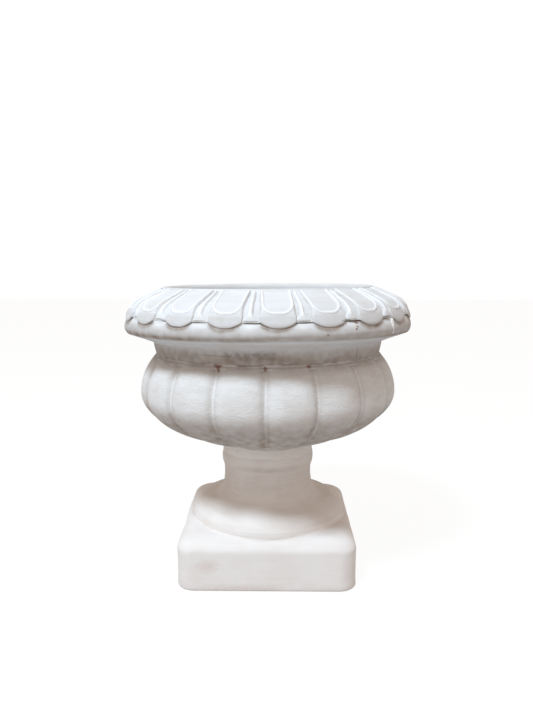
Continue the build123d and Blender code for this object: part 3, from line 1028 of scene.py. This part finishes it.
dressed(make_plinth(), plinth_paint, "whitewashed_plinth", "plinth")
dressed(make_pedestal(), pedestal_paint, "whitewashed_pedestal", "pedestal")
foot_slip = make_slip(
    "foot_slip", (87.0, 51.6), (84.0, 53.9), (82.4, 58.6), 66, 0.2, rest=plinth_top
)
dressed(foot_slip, plinth_paint, "slip", "foot_bed")
collar_slip = make_slip("collar_slip", (48.3, 121.8), (48.2, 126), (46.6, 131.8), 27, 0.6)
dressed(collar_slip, slip_paint, "slip", "collar_bed")
neck_slip = make_slip("neck_slip", (118.9, 227.6), (118.0, 229.4), (118.3, 231.2), 108, 0.7, 1.0)
dressed(neck_slip, bowl_paint, "slip", "neck_bed")

bowl = settle(make_bowl(), lobe_tree(bowl_paint))
dressed(bowl, None, "whitewashed_bowl", "bowl")
dressed(make_rim(), rim_paint, "whitewashed_rim", "rim")
numbers = range(1, tongues + 1)
tongue_ring = settle(make_tongue(), dressing_tree("tongues_round_the_rim", rim_paint))
dressed(tongue_ring, None, "whitewashed_tongue", *[f"tongue_{n:02}" for n in numbers])
dart_values = {"Phase": math.radians(tongue_phase + 180 / tongues), "Seed": 8}
dart_ring = settle(make_dart(), dressing_tree("darts_round_the_rim", rim_paint), dart_values)
dressed(dart_ring, None, "whitewashed_dart", *[f"dart_{n:02}" for n in numbers])
run = make_paint_run()
run.data.materials.append(rim_paint)
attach(run, "root")


# Studio: pale floor, white surroundings, one soft lamp high on the left and a plain camera


def background_rays(tree):
    """1 for the rays that see the background: the camera's, mirrored ones and through glass."""
    rays = add(tree, "ShaderNodeLightPath").outputs
    direct = {0: rays["Is Camera Ray"], 1: rays["Is Glossy Ray"]}
    seen = add(tree, "ShaderNodeMath", direct, operation="MAXIMUM")
    through_glass = {0: seen, 1: rays["Is Transmission Ray"]}
    return add(tree, "ShaderNodeMath", through_glass, operation="MAXIMUM")


def studio_floor():
    """Matt white paper: it shows pure white to the camera but keeps the urn's shadow."""
    material = bpy.data.materials.new("studio_paper")
    material.use_nodes = True
    tree = material.node_tree
    tree.nodes.clear()
    matt = add(tree, "ShaderNodeBsdfDiffuse", {"Color": linear("CECCCA")})
    bright = add(tree, "ShaderNodeEmission", {"Color": (1.0, 1.0, 1.0, 1.0), "Strength": 1.1})
    part = add(tree, "ShaderNodeMath", {0: background_rays(tree), 1: 0.85}, operation="MULTIPLY")
    mixed = add(tree, "ShaderNodeMixShader", {0: part, 1: matt, 2: bright})
    add(tree, "ShaderNodeOutputMaterial", {"Surface": mixed})
    mesh = bpy.data.meshes.new("studio_floor")
    reach = 6.0
    corners = [(-reach, -reach, 0), (reach, -reach, 0), (reach, reach, 0), (-reach, reach, 0)]
    mesh.from_pydata(corners, [], [(0, 1, 2, 3)])
    mesh.materials.append(material)
    floor = bpy.data.objects.new("studio_floor", mesh)
    bpy.context.scene.collection.objects.link(floor)
    return floor


studio_floor()

world = bpy.data.worlds.new("studio_air")
bpy.context.scene.world = world
world.use_nodes = True
air = world.node_tree
air.nodes.clear()
soft = add(air, "ShaderNodeBackground", {"Color": linear("FFEDDF"), "Strength": 0.52})
white = add(air, "ShaderNodeBackground", {"Color": (1.0, 1.0, 1.0, 1.0), "Strength": 1.0})
seen = background_rays(air)
shown = add(air, "ShaderNodeMixShader", {0: seen, 1: soft, 2: white})
add(air, "ShaderNodeOutputWorld", {0: shown})

lamp = bpy.data.lights.new("softbox", "AREA")
lamp.shape = "DISK"
lamp.size = 0.45
lamp.energy = 38.0
lamp.color = (0.72, 0.87, 1.0)
lamp_azimuth, lamp_height, lamp_distance = math.radians(-31), math.radians(56), 2.2
urn_middle = 0.16
softbox = bpy.data.objects.new("softbox", lamp)
level_reach = lamp_distance * math.cos(lamp_height)
softbox.location = (
    level_reach * math.sin(lamp_azimuth),
    -level_reach * math.cos(lamp_azimuth),
    urn_middle + lamp_distance * math.sin(lamp_height),
)
softbox.rotation_euler = (math.pi / 2 - lamp_height, 0, lamp_azimuth)
bpy.context.scene.collection.objects.link(softbox)

# The camera of the photograph: eye level a little above the lip, turned slightly to the right
focal_pixels, photo_height, sensor = 650, 711, 36
camera = bpy.data.cameras.new("camera")
camera.lens = focal_pixels / photo_height * sensor
camera.sensor_width = sensor
viewpoint = bpy.data.objects.new("camera", camera)
camera_turn, camera_pitch = math.radians(0.86), 7.63
camera_distance, camera_height, camera_offset = 695.6, 317.3, -1.3
viewpoint.location = Vector((
    camera_distance * math.sin(camera_turn) + camera_offset * math.cos(camera_turn),
    -camera_distance * math.cos(camera_turn) + camera_offset * math.sin(camera_turn),
    camera_height,
)) * MM
viewpoint.rotation_euler = (math.radians(90 - camera_pitch), 0, camera_turn)
bpy.context.scene.collection.objects.link(viewpoint)
bpy.context.scene.camera = viewpoint
bpy.context.scene.view_settings.view_transform = "Standard"
